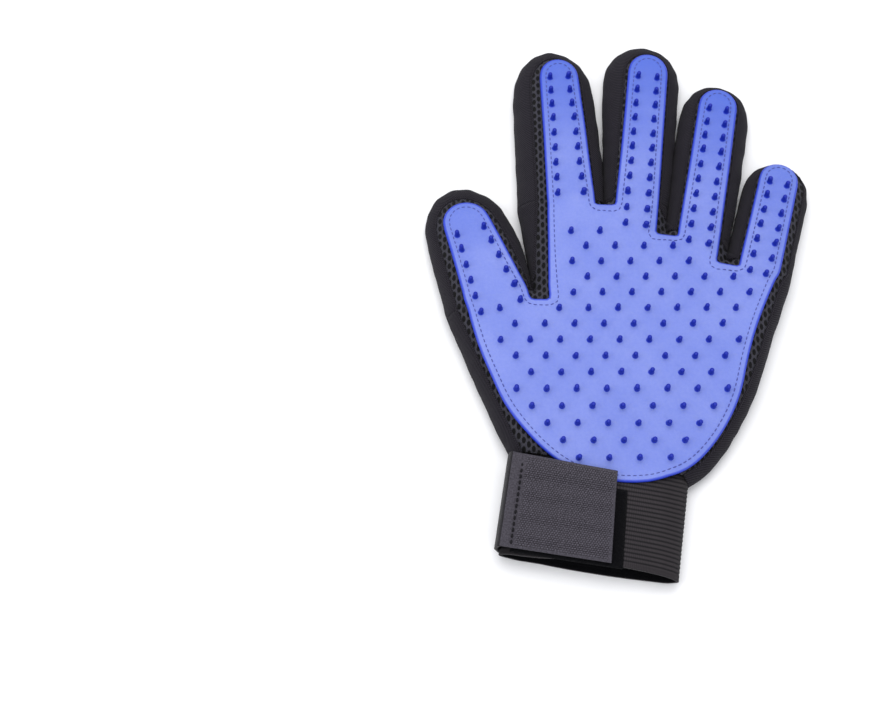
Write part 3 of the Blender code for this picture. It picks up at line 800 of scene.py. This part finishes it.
def loop_material():
    """Loop pile: matted and almost black."""
    s = Shader("loop_pile")
    curl = s.noise(s.weave(), 1.1, 6.0, 0.7)
    colour = s.blend(curl, (0.0008, 0.0008, 0.0011), (0.0048, 0.0048, 0.0064))
    return s.finish(Base_Color=colour, Roughness=0.95, Normal=s.bump(curl, 0.0009, 0.9),
                    Sheen_Weight=0.02, Sheen_Roughness=0.6, Specular_IOR_Level=0.05)


def hook_material():
    """Hook tape: grey-violet monofilament on a dark weave; the colour follows the hooks' height, with
    painted shade in the gaps between them.
    """
    s = Shader("hook_tape")
    grain = s.noise(s.weave(), 1.4, 4.0, 0.65)
    weft = s.math("MULTIPLY", s.wave(0, 0.8, 1.2, 1.0), s.wave(90, 0.95, 1.2, 1.0))
    ground = s.blend(weft, (0.004, 0.0035, 0.005), (0.026, 0.023, 0.031))
    hooks = s.blend(s.ramp(grain, 0.3, 0.7), (0.055, 0.049, 0.064), (0.140, 0.127, 0.160))
    # colour by the hooks' height: painted shade in the gaps, the hooks' own grey-violet on their crowns
    colour = s.blend(s.depth(), ground, hooks)
    height = s.math("ADD", weft, s.math("MULTIPLY", grain, 0.6))
    return s.finish(Base_Color=colour, Roughness=0.6, Normal=s.bump(height, 0.0002, 0.7),
                    Specular_IOR_Level=0.25, Sheen_Weight=0.03)


def thread_material(name, dark, pale):
    """Twisted sewing thread."""
    s = Shader(name)
    ply = s.wave(40, 1.6, 0.4)
    return s.finish(Base_Color=s.blend(ply, dark, pale), Roughness=0.6,
                    Normal=s.bump(ply, 0.00006, 0.6), Specular_IOR_Level=0.2)


def floor_material():
    s = Shader("floor")
    tone = s.noise(s.node("TexCoord", output=3), 2.0, 2.0)
    colour = s.blend(tone, (0.93, 0.93, 0.935), (0.95, 0.95, 0.955))
    return s.finish(Base_Color=colour, Roughness=0.55, Specular_IOR_Level=0.2)


SILICONE = silicone_material()
AIR_MESH = air_mesh_material()
KNIT = knit_material()
ELASTIC_CLOTH = elastic_material()
LOOP_PILE = loop_material()
HOOK_TAPE = hook_material()
BLUE_THREAD = thread_material("blue_thread", (0.050, 0.062, 0.26), (0.110, 0.130, 0.42))
BLACK_THREAD = thread_material("black_thread", (0.002, 0.002, 0.003), (0.014, 0.013, 0.017))


# ---------------------------------------------------------------- silicone


def nubs_of(node, body):
    """Centres of a silicone node's nubs, from the flat tops above its sheet, and their height."""
    axis = KNUCKLES.get(body, WORLD_AXIS)
    groups = []
    highest = 0.0
    for face in frame["nodes"][node].data.polygons:
        centre = face.center
        above = centre.z - np.interp(axis.local(centre).y, *CRESTS[body])
        if face.normal.z < NUB_TOP_LEVEL or above < NUB_TOP_HEIGHT:
            continue
        highest = max(highest, above)
        near = [g for g in groups if (g[0][0] - centre.xy).length < NUB_TOP_REACH]
        if near:
            near[0].append((centre.xy, face.area))
        else:
            groups.append([(centre.xy, face.area)])
    places = []
    for group in groups:
        total = sum(size for _, size in group)
        places.append(sum((c * size for c, size in group), Vector((0, 0))) / total)
    return places, highest - SHEET - CAD_GAP


def silicone_sheet(name, node, body):
    """A moulded sheet with a rounded edge and its nubs, each blended into it by a fillet."""
    shape = outline(node)
    bm = bmesh.new()
    depth = bm.verts.layers.float.new("depth")
    rings = []
    for inset, height, deep in SHEET_EDGE:
        ring = []
        for point in shape.inset(inset * MM):
            vert = bm.verts.new((point.x, point.y, height * SHEET))
            # painted shade on the sheet's rim
            vert[depth] = deep
            ring.append(vert)
        rings.append(ring)
    join_rings(bm, rings)
    centres, nub_height = nubs_of(node, body)
    feet = [add_nub(bm, depth, centre, nub_height) for centre in centres]
    fill(bm, rings[-1], SHEET, FILL_SILICONE, feet, NUB_BASE_RADIUS)
    fill(bm, rings[0], 0.0, FILL_UNDER_SILICONE, flip=True)
    # the sheet's painted reflection haze, fading towards the fingertips
    add_painted_reflection(bm, body)
    drape(bm, body, SILICONE_LIFT)
    attach(new_object(name, bm, SILICONE), body, "silicone", node)


def add_painted_reflection(bm, body):
    """How pale the sheet is painted: a painted reflection haze that fades along a finger towards the
    tip, which droops and reflects less.
    """
    bloom = bm.verts.layers.float.new("bloom")
    for vert in bm.verts:
        ahead = KNUCKLES[body].local(vert.co).y if body in KNUCKLES else 0.0
        vert[bloom] = 1.0 - REFLECTION_FADE * clamped((ahead - REFLECTION_START) / REFLECTION_LENGTH)


def add_nub(bm, depth, centre, tall):
    """A tapered nub, standing on the sheet. Returns the ring of verts at its foot."""
    spots = [Vector((*centre, layer)) * NUB_LEAN_SCALE for layer in (0, 5)]
    lean = Vector([noise.noise(spot) for spot in spots]) * NUB_LEAN
    foot_depth, gain = NUB_DEPTH
    rings = []
    for radius, share in [(NUB_BASE_RADIUS / MM, 0.0), *NUB_RINGS]:
        ring = []
        for k in range(NUB_SIDES):
            turn = 2 * math.pi * k / NUB_SIDES
            out = Vector((math.cos(turn), math.sin(turn))) * radius * MM
            spot = centre + out + lean * share * tall
            vert = bm.verts.new((spot.x, spot.y, SHEET + share * tall))
            # painted shade: the nub is painted deep blue above its foot
            vert[depth] = min(1.0, foot_depth + gain * share) if share else 0.0
            ring.append(vert)
        rings.append(ring)
    join_rings(bm, rings)
    bm.faces.new(rings[-1])
    return rings[0]


def stitches(line, radius, lift):
    """A row of stitches along a line in plan, as a mesh and its verts' weave coordinates.

    Each is a short thread that dips in at its ends.
    """
    run = resampled(line, TRACK_STEP)
    total = line_length(run)
    count = max(int(total / STITCH_PITCH), 1)
    pitch = total / count
    track = np.array([tuple(p) for p in run])
    places = np.linspace(0, total, len(run))

    def spot_at(distance):
        return Vector([np.interp(distance, places, track[:, c]) for c in (0, 1)])

    bm = bmesh.new()
    weave = {}
    for k in range(count):
        rings = []
        for share in STITCH_RINGS:
            at = (k + 0.5) * pitch + share * STITCH_LENGTH / 2
            spot = spot_at(at)
            ahead = spot_at(at + 0.1 * MM) - spot
            side = Vector((-ahead.y, ahead.x)).normalized() if ahead.length > 1e-7 else Vector((0, 1))
            thick = radius * (1 - STITCH_TAPER * abs(share))
            height = lift + thick * (STITCH_PROUD - STITCH_DIP * abs(share) ** 2.4)
            rings.append(thread_ring(bm, weave, spot, side * thick, height, STITCH_ROUND, at / MM))
        join_rings(bm, rings, capped=True)
    return bm, weave


def thread_ring(bm, weave, spot, side, height, section, along):
    """A ring of verts round a level thread. side is its radius and direction to one side."""
    sides, girth = section
    ring = []
    for k in range(sides):
        turn = 2 * math.pi * k / sides
        place = spot + side * math.cos(turn)
        vert = bm.verts.new((place.x, place.y, height + side.length * math.sin(turn)))
        weave[vert] = (along, k * girth / sides)
        ring.append(vert)
    return ring


def sew(name, line, body, node):
    """Blue stitches through the silicone along a line."""
    bm, weave = stitches(line, STITCH_RADIUS, SHEET)
    drape(bm, body, SILICONE_LIFT)
    bmesh.ops.recalc_face_normals(bm, faces=bm.faces)
    attach(new_object(name, bm, BLUE_THREAD, uv=weave), body, "thread", node)


def inset_line(line, distance):
    return [p - n * distance for p, n in zip(line, side_normals(line))]


def deepened(line, drop):
    """A notch's line drawn out away from the straight line between its ends."""
    base = (line[-1] - line[0]).normalized()
    down = Vector((-base.y, base.x))
    depths = [(p - line[0]).dot(down) for p in line]
    deepest = max(depths, key=abs)
    out = down * math.copysign(drop, deepest)
    return [p + out * max(depth / deepest, 0.0) ** 3 for p, depth in zip(line, depths)]


# ---------------------------------------------------------------- cloth


def air_mesh(name, node, body):
    """The air mesh under the silicone, one sheet laid over the hand or a finger."""
    bm = bmesh.new()
    ring = [bm.verts.new((p.x, p.y, 0)) for p in outline(node).points]
    fill(bm, ring, 0.0, FILL_AIR_MESH)
    drape(bm, body)
    obj = new_object(name, bm, AIR_MESH)
    thicken(obj, CLOTH)
    attach(obj, body, "mesh", node)


def back_cloth(name, node, body):
    """The knit back of the hand or of a finger, flat on what the glove lies on."""
    shape = outline(node)
    bm = bmesh.new()
    rings = []
    for inset, height in BACK_EDGE:
        rings.append([bm.verts.new((p.x, p.y, height * MM)) for p in shape.inset(inset * MM)])
    join_rings(bm, rings)
    fill(bm, rings[0], 0.0, FILL_BACK, flip=True)
    fill(bm, rings[-1], BACK_EDGE[-1][1] * MM, FILL_BACK_INSIDE)
    attach(new_object(name, bm, KNIT), body, "knit", node)


def wall_normals(line, ends):
    """Outward directions along a wall's foot. At a knuckle they lie along the knuckle line."""
    found = side_normals(line)
    run = min(WALL_TURN, len(line) // 2)
    for name, order in ((ends[0], range(run)), (ends[1], range(-1, -run - 1, -1))):
        if name not in KNUCKLES:
            continue
        right = KNUCKLES[name].right
        first = right if right.dot(found[order[0]]) > 0 else -right
        for step, k in enumerate(order):
            found[k] = first.lerp(found[k], step / run).normalized()
    return found


def curve_shares(s):
    """The weights of a cubic curve's four controls, s of the way along it."""
    return (1 - s) ** 3, 3 * s * (1 - s) ** 2, 3 * s * s * (1 - s), s ** 3


def wall_curve(low, high, out, top):
    """Controls, as place and height, of a wall's curve from its head down to its foot.

    The third is set so that the wall bulges WALL_BULGE past its foot, to press on a neighbour.
    """
    lean = (low - high).length
    shoulder = high.lerp(low, WALL_SHOULDER) + out * WALL_SHOULDER_OUT
    tuck = low - out * WALL_TUCK
    belly = curve_shares(WALL_BELLY)
    others = sum(belly[k] * (p - low).dot(out) for k, p in ((0, high), (1, shoulder), (3, tuck)))
    waist = low + out * (WALL_BULGE - others) / belly[2]
    return [(high, top + WALL_HEAD_RISE), (shoulder, top - WALL_SHOULDER_DROP - 0.1 * lean),
            (waist, WALL_WAIST * top), (tuck, WALL_FOOT)]


def side_wall(name, foot, head, ends, body, node):
    """Knit wall from the back up to the mesh. It bulges and puckers a little."""
    length = max(line_length(foot), line_length(head))
    count = max(int(length / WALL_COLUMN), 3)
    foot, head = divided(foot, count), divided(head, count)
    tops = cloth_height(np.array([tuple(p) for p in head]), body)
    bm = bmesh.new()
    weave = {}
    columns = []
    for k, (low, high, out, top) in enumerate(zip(foot, head, wall_normals(foot, ends), tops)):
        controls = wall_curve(low, high, out, top)
        column = []
        for step in range(WALL_STEPS + 1):
            s = step / WALL_STEPS
            shares = curve_shares(s)
            spot = sum((p * w for (p, _), w in zip(controls, shares)), Vector((0, 0)))
            height = sum(z * w for (_, z), w in zip(controls, shares))
            pucker = noise.noise(Vector((low.x / PUCKER_LENGTH, low.y / PUCKER_LENGTH, s * 0.8))) - 0.5
            spot += out * pucker * PUCKER * math.sin(math.pi * s)
            vert = bm.verts.new((spot.x, spot.y, height))
            weave[vert] = (k * length / count / MM, s * WALL_WEAVE)
            column.append(vert)
        columns.append(column)
    join_columns(bm, columns[::-1])
    obj = new_object(name, bm, KNIT, uv=weave)
    thicken(obj, CLOTH)
    attach(obj, body, "knit", node)


def rolled_seam(name, line, body):
    """The rolled seam where the mesh meets the knit, with the puckers of its overlock stitches."""
    run = resampled(line, SEAM_STEP)
    bm = bmesh.new()
    weave = {}
    rings = []
    for k, (spot, out) in enumerate(zip(run, side_normals(run))):
        along = k * SEAM_STEP
        side = out * SEAM_RADIUS * (1 + SEAM_BEAT * math.sin(2 * math.pi * along / SEAM_PITCH))
        rings.append(thread_ring(bm, weave, spot, side, SEAM_LIFT, SEAM_ROUND, along / MM))
    join_rings(bm, rings, capped=True)
    drape(bm, body)
    bmesh.ops.recalc_face_normals(bm, faces=bm.faces)
    attach(new_object(name, bm, KNIT, uv=weave), body, "knit")


def only_line(node):
    return next(iter(outline(node).stretches.values()))


def make_finger(name):
    silicone_sheet(name + "_silicone", name + "_pad", name)
    air_mesh(name + "_air_mesh", name + "_mesh", name)
    back_cloth(name + "_back_knit", name + "_back", name)
    foot, head, pad = (only_line(name + part) for part in ("_back", "_mesh", "_pad"))
    side_wall(name + "_side_knit", foot, head, (name, name), name, name + "_gusset")
    rolled_seam(name + "_seam", head, name)
    sew(name + "_stitches", inset_line(pad, STITCH_INSET), name, name + "_pad_thread")


def make_palm():
    silicone_sheet("palm_silicone", "palm_pad", "palm")
    air_mesh("palm_air_mesh", "palm_mesh", "palm")
    back_cloth("back_knit", "back_panel", "palm")
    heads = outline("palm_mesh").stretches
    for ends, foot in outline("back_panel").stretches.items():
        start, end = ends
        if "wrist" in ends:
            label = (start if end == "wrist" else end) + "_side"
            node = label + "_gusset"
        else:
            label = f"{end}_{start}"
            node = label + "_web"
        side_wall(label + "_knit", foot, heads[ends], ends, "palm", node)
        rolled_seam(label + "_seam", heads[ends], "palm")
    for (start, end), edge in outline("palm_pad").stretches.items():
        label = f"{end}_{start}_notch"
        line = inset_line(edge, STITCH_INSET)
        if label + "_thread" in frame["nodes"]:
            line = deepened(line, NOTCH_STITCH_DROP)
        else:
            label = "palm_edge"
        sew(label + "_stitches", line, "palm", label + "_thread")


# ---------------------------------------------------------------- cuff and strap


def ring_point(turn, half_width, low, high):
    """A point (across, height) round the flattened cuff, anticlockwise from its right edge."""
    shares = [math.copysign(abs(part) ** power, part)
              for part, power in zip((math.cos(turn), math.sin(turn)), CUFF_SQUARENESS)]
    return half_width * shares[0], (low + high) / 2 + (high - low) / 2 * shares[1]


def make_cuff():
    low, high = (corner[2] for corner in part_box("elastic_band"))
    length = CUFF_LENGTH + CUFF_TUCK
    rows = int(length / CUFF_ROW)
    bm = bmesh.new()
    depth = bm.verts.layers.float.new("depth")
    weave = {}
    rings = []
    for row in range(rows + 1):
        v = CUFF_TUCK - length * row / rows
        rib = 0.5 - 0.5 * math.cos(2 * math.pi * v / RIB_PITCH)
        hem = clamped((v + CUFF_LENGTH) / CUFF_HEM)
        out = (rib ** 0.6 - 1) * RIB_DEPTH * hem - clamped(v / CUFF_TUCK) * CUFF_TUCK_IN
        ring = []
        for k in range(CUFF_COLUMNS):
            turn = 2 * math.pi * k / CUFF_COLUMNS
            u, z = ring_point(turn, CUFF_WIDTH / 2 + out, low - out, high + out)
            stray = noise.noise(Vector((math.cos(turn) * 2.2, math.sin(turn) * 2.2, v * 25)))
            front = (z - low) / (high - low)
            across = (2 * u / CUFF_WIDTH - OPENING_MIDDLE) / OPENING_REACH
            bow = max(1 - across ** 2, 0.0) * (row / rows) ** 2
            slide = (front - 0.25) * bow * OPENING_BOW
            spot = CUFF.world(u, v + stray * CUFF_WANDER + slide)
            vert = bm.verts.new((spot.x, spot.y, max(z + front * bow * OPENING_RISE, low)))
            # depth paints shade into the rib valleys, and a flat 0.3 on the hem
            vert[depth] = 1 - min(rib * 1.5, 1.0) if hem >= 1 else 0.3
            weave[vert] = (2 * CUFF_WIDTH / MM * k / CUFF_COLUMNS, v / MM)
            ring.append(vert)
        rings.append(ring)
    join_rings(bm, rings)
    bmesh.ops.recalc_face_normals(bm, faces=bm.faces)
    obj = new_object("ribbed_cuff", bm, ELASTIC_CLOTH, uv=weave)
    obj.data.materials.append(LOOP_PILE)  # the inside of the elastic gets the near-black pile: painted shade inside the cuff
    thicken(obj, ELASTIC)
    obj.modifiers["cloth"].material_offset = 1
    attach(obj, "palm", "elastic", "elastic_band")


def skewed(u, v, low, high):
    """A place on a tape whose top edge slopes down a little towards its right end."""
    corner = (u - low[0]) / (high[0] - low[0]) * (v - low[1]) / (high[1] - low[1])
    return CUFF.world(u - SKEW[0] * corner, v - SKEW[1] * corner)


def local_grid(name, material, low, high, step, lift):
    """A sheet over a rectangle in the cuff's frame. lift(u, v) is its height and depth of colour."""
    columns = int((high[0] - low[0]) / step)
    rows = int((high[1] - low[1]) / step)
    bm = bmesh.new()
    depth = bm.verts.layers.float.new("depth")
    weave = {}
    grid = []
    for i in range(columns + 1):
        column = []
        for j in range(rows + 1):
            u = low[0] + (high[0] - low[0]) * i / columns
            v = low[1] + (high[1] - low[1]) * j / rows
            spot = skewed(u, v, low, high)
            z, deep = lift(u, v)
            vert = bm.verts.new((spot.x, spot.y, z))
            vert[depth] = deep
            weave[vert] = (u / MM, v / MM)
            column.append(vert)
        grid.append(column)
    join_columns(bm, grid)
    return new_object(name, bm, material, uv=weave)


def node_extent(node):
    """A node's lowest and highest u, v in the cuff's frame."""
    local = np.array([CUFF.local(p) for p in node_points(node)])
    return local.min(0), local.max(0)


def make_loop_patch():
    low, high = node_extent("loop_patch")
    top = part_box("loop_patch")[1][2] - PILE_SINK

    def lift(u, v):
        place = Vector((u, v, 0))
        rim = min(u - low[0], high[0] - u, v - low[1], high[1] - v)
        pile = noise.fractal(place / PILE_LENGTH, 0.6, 2.2, 4) * PILE_HEIGHT
        worn = PILE_EDGE * (1 + 0.75 * noise.noise(place / (1.4 * MM)))
        return top + pile - PILE_EDGE_DROP * max(0.0, 1 - rim / worn) ** 2, 0.0

    obj = local_grid("loop_pile", LOOP_PILE, low, high, LOOP_GRID, lift)
    thicken(obj, LOOP_TAPE)
    attach(obj, "palm", "loop", "loop_patch")


def make_strap():
    low, high = node_extent("hook_tape")
    places, heights = zip(*tops_along("hook_tape", CUFF))
    seam_u = float(sum(corner[0] for corner in node_extent("strap_thread"))) / 2

    def lift(u, v):
        place = Vector((u, v, 0))
        base = float(np.interp(v, places, heights)) - HOOK_SINK
        rim = min(high[0] - u, v - low[1], high[1] - v)
        ragged = 0.5 * MM * noise.noise(Vector((u, v, 9)) / (2.5 * MM))
        margin = clamped((rim - HOOK_RIM + ragged) / (0.5 * MM))
        field = margin * clamped((u - seam_u - 1.3 * MM + ragged) / (0.6 * MM))
        shift = 0.5 * math.floor(v / HOOK_ROW) + 0.2 * noise.noise(Vector((u, v, 4)) / MM)
        a = (u / HOOK_PITCH + shift) % 1.0 - 0.5
        b = (v / HOOK_ROW) % 1.0 - 0.5
        knob = max(0.0, 1 - (a * a + b * b) / 0.24) ** 0.7
        rough = 0.8 + 0.6 * noise.noise(place / (0.7 * MM))
        hooks = field * knob * rough * HOOK_HEIGHT
        groove = 0.12 * MM * math.exp(-((u - seam_u) / (0.5 * MM)) ** 2)
        sag = STRAP_SAG * noise.noise(Vector((u, v, 3)) / (14 * MM))
        edge = 0.35 * MM * max(0.0, 1 - rim / (0.5 * MM)) ** 2
        # the second value paints the colour by the hooks' height: painted shade in the gaps
        return base + hooks - groove + sag - edge, PLAIN_TAPE_DEPTH * (1 - field) + field * knob

    obj = local_grid("hook_strap", HOOK_TAPE, low, high, HOOK_GRID, lift)
    thicken(obj, HOOK_TAPE_DEPTH)
    middle, height = (low[1] + high[1]) / 2, JOINTS["strap"]["pos_m"][2]
    start, end = CUFF.world(low[0], middle), CUFF.world(low[0] + STRAP_BLEND, middle)
    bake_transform(obj)
    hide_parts("hook_tape")
    make_strap_seam(seam_u, low[1], high[1], float(np.interp(middle, places, heights)))
    make_fold(low, high, places, heights)


def make_strap_seam(u, bottom, top, height):
    lower, upper = STRAP_STITCH_ENDS
    line = [CUFF.world(u, bottom + lower), CUFF.world(u, top - upper)]
    bm, weave = stitches(line, STRAP_STITCH_RADIUS, height + 0.1 * MM)
    bmesh.ops.recalc_face_normals(bm, faces=bm.faces)
    obj = new_object("strap_stitches", bm, BLACK_THREAD, uv=weave)
    attach(obj, "strap", "black_thread", "strap_thread")


def make_fold(low, high, places, heights):
    """The strap's fold, from its left edge down round the side of the cuff and in below it."""
    bm = bmesh.new()
    bm.verts.layers.float.new("depth")
    weave = {}
    columns = []
    for j in range(FOLD_ROWS + 1):
        v = low[1] + (high[1] - low[1]) * j / FOLD_ROWS
        radius = (float(np.interp(v, places, heights)) - FOLD_DROP - FOLD_FOOT) / 2
        column = []
        for k in range(FOLD_STEPS + 1):
            s = k / FOLD_STEPS
            turn = math.pi / 2 + math.pi * s
            across = FOLD_REACH * math.cos(turn) if s <= 0.5 else (2 * s - 1) * FOLD_UNDER - FOLD_REACH
            spot = CUFF.world(low[0] + FOLD_START + across, v)
            vert = bm.verts.new((spot.x, spot.y, FOLD_FOOT + radius * (1 + math.sin(turn))))
            weave[vert] = (-s * FOLD_STEPS, v / MM)
            column.append(vert)
        columns.append(column)
    join_columns(bm, columns)
    obj = new_object("strap_fold", bm, HOOK_TAPE, uv=weave)
    thicken(obj, ELASTIC)
    attach(obj, "palm", "hook")


# ---------------------------------------------------------------- stage


def make_stage():
    bm = bmesh.new()
    for x, y in ((-1, -1), (1, -1), (1, 1), (-1, 1)):
        bm.verts.new((x * FLOOR_HALF, y * FLOOR_HALF, 0))
    bm.faces.new(bm.verts)
    mesh = bpy.data.meshes.new("floor")
    bm.to_mesh(mesh)
    bm.free()
    mesh.materials.append(floor_material())
    floor = bpy.data.objects.new("floor", mesh)
    floor.location.z = -FLOOR_DROP
    bpy.context.scene.collection.objects.link(floor)


def area_light(name, place, size, power):
    light = bpy.data.lights.new(name, "AREA")
    light.shape = "RECTANGLE"
    light.size, light.size_y = size
    light.energy = power
    obj = bpy.data.objects.new(name, light)
    obj.location = place
    obj.rotation_euler = (Vector(LIGHT_TARGET) - Vector(place)).to_track_quat("-Z", "Y").to_euler()
    bpy.context.scene.collection.objects.link(obj)


def make_lights():
    world = bpy.data.worlds.new("studio")
    world.use_nodes = True
    background = world.node_tree.nodes["Background"]
    background.inputs["Color"].default_value = (0.95, 0.96, 1.0, 1)
    background.inputs["Strength"].default_value = 0.8
    bpy.context.scene.world = world
    area_light("overhead_softbox", (-0.1, 0.5, 1.2), (1.1, 0.8), 8.6)
    area_light("left_softbox", (-0.95, -0.15, 0.9), (0.7, 0.7), 3)
    area_light("front_fill", (0.5, -0.9, 0.8), (0.8, 0.6), 2)


def make_camera():
    lens = bpy.data.cameras.new("camera")
    lens.lens = VIEW_LENS
    lens.sensor_width = SENSOR_WIDTH
    camera = bpy.data.objects.new("camera", lens)
    tilt = math.radians(VIEW_ELEVATION)
    target = Vector(VIEW_TARGET)
    camera.location = target + Vector((0, -math.cos(tilt), math.sin(tilt))) * VIEW_DISTANCE
    camera.rotation_euler = (math.pi / 2 - tilt, 0, 0)
    bpy.context.scene.collection.objects.link(camera)
    bpy.context.scene.camera = camera


def main():
    make_stage()
    make_lights()
    make_camera()
    bpy.context.scene.view_settings.view_transform = "Standard"
    make_palm()
    for name in FINGERS:
        make_finger(name)
    make_cuff()
    make_loop_patch()
    make_strap()


main()
